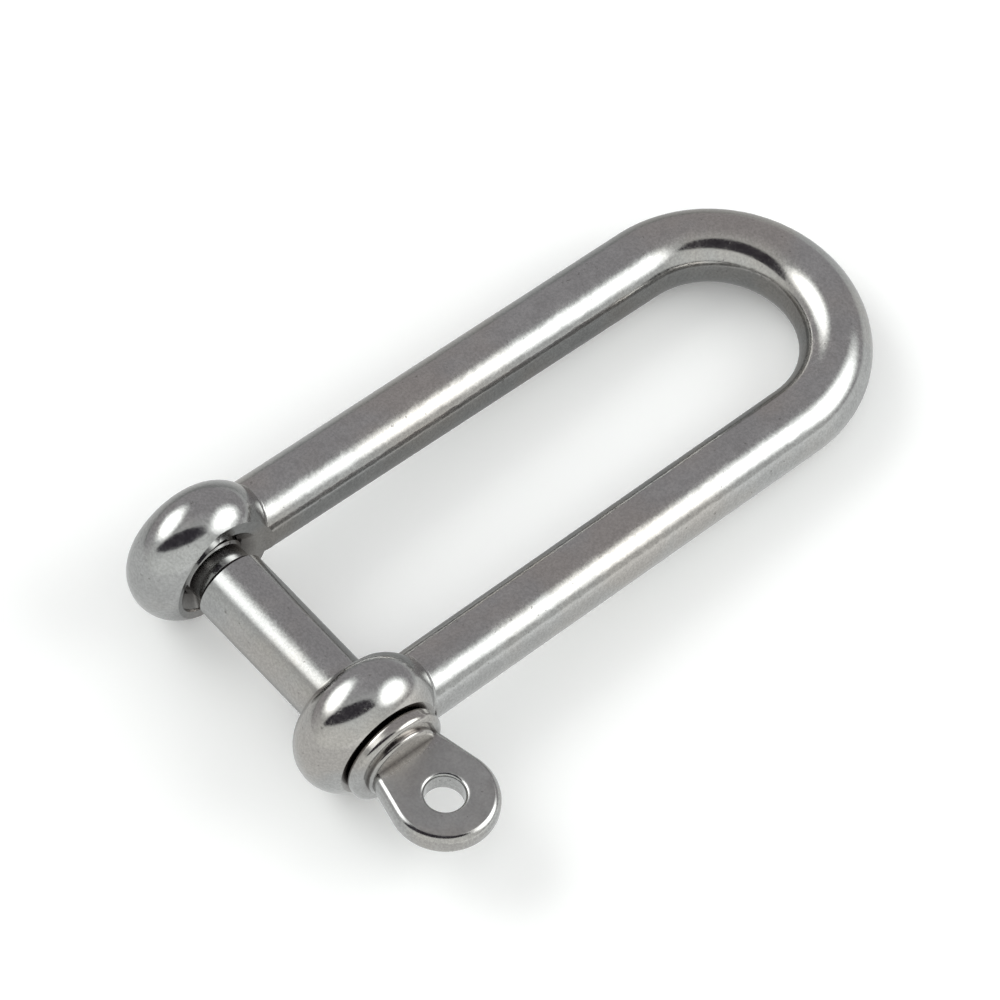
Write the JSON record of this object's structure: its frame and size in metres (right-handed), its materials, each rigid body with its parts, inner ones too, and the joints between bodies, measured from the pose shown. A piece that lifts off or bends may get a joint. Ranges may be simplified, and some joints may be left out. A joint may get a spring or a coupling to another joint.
{
  "type": "dee shackle",
  "caption": "Long dee shackle in polished stainless steel: a round-bar bow with an eye at each end, closed by a screw pin with a collar and a flat holed head.",
  "frame": {"origin": "on the pin's axis, midway between the two eyes", "axes": "+X along the pin towards its head, +Y along the load line towards the bend, +Z square to the plane of the bow"},
  "size_m": [0.0504, 0.0871, 0.017],
  "materials": {
    "polished_bow": "polished stainless steel",
    "polished_pin": "polished stainless steel"
  },
  "bodies": {
    "bow": {"bow": "polished_bow"},
    "pin": {"screw_pin": "polished_pin"}
  },
  "joints": [
    {"name": "pin_withdraw", "type": "slide", "parent": "bow", "child": "pin", "axis": [1, 0, 0], "range_m": [0, 0.04]}
  ]
}
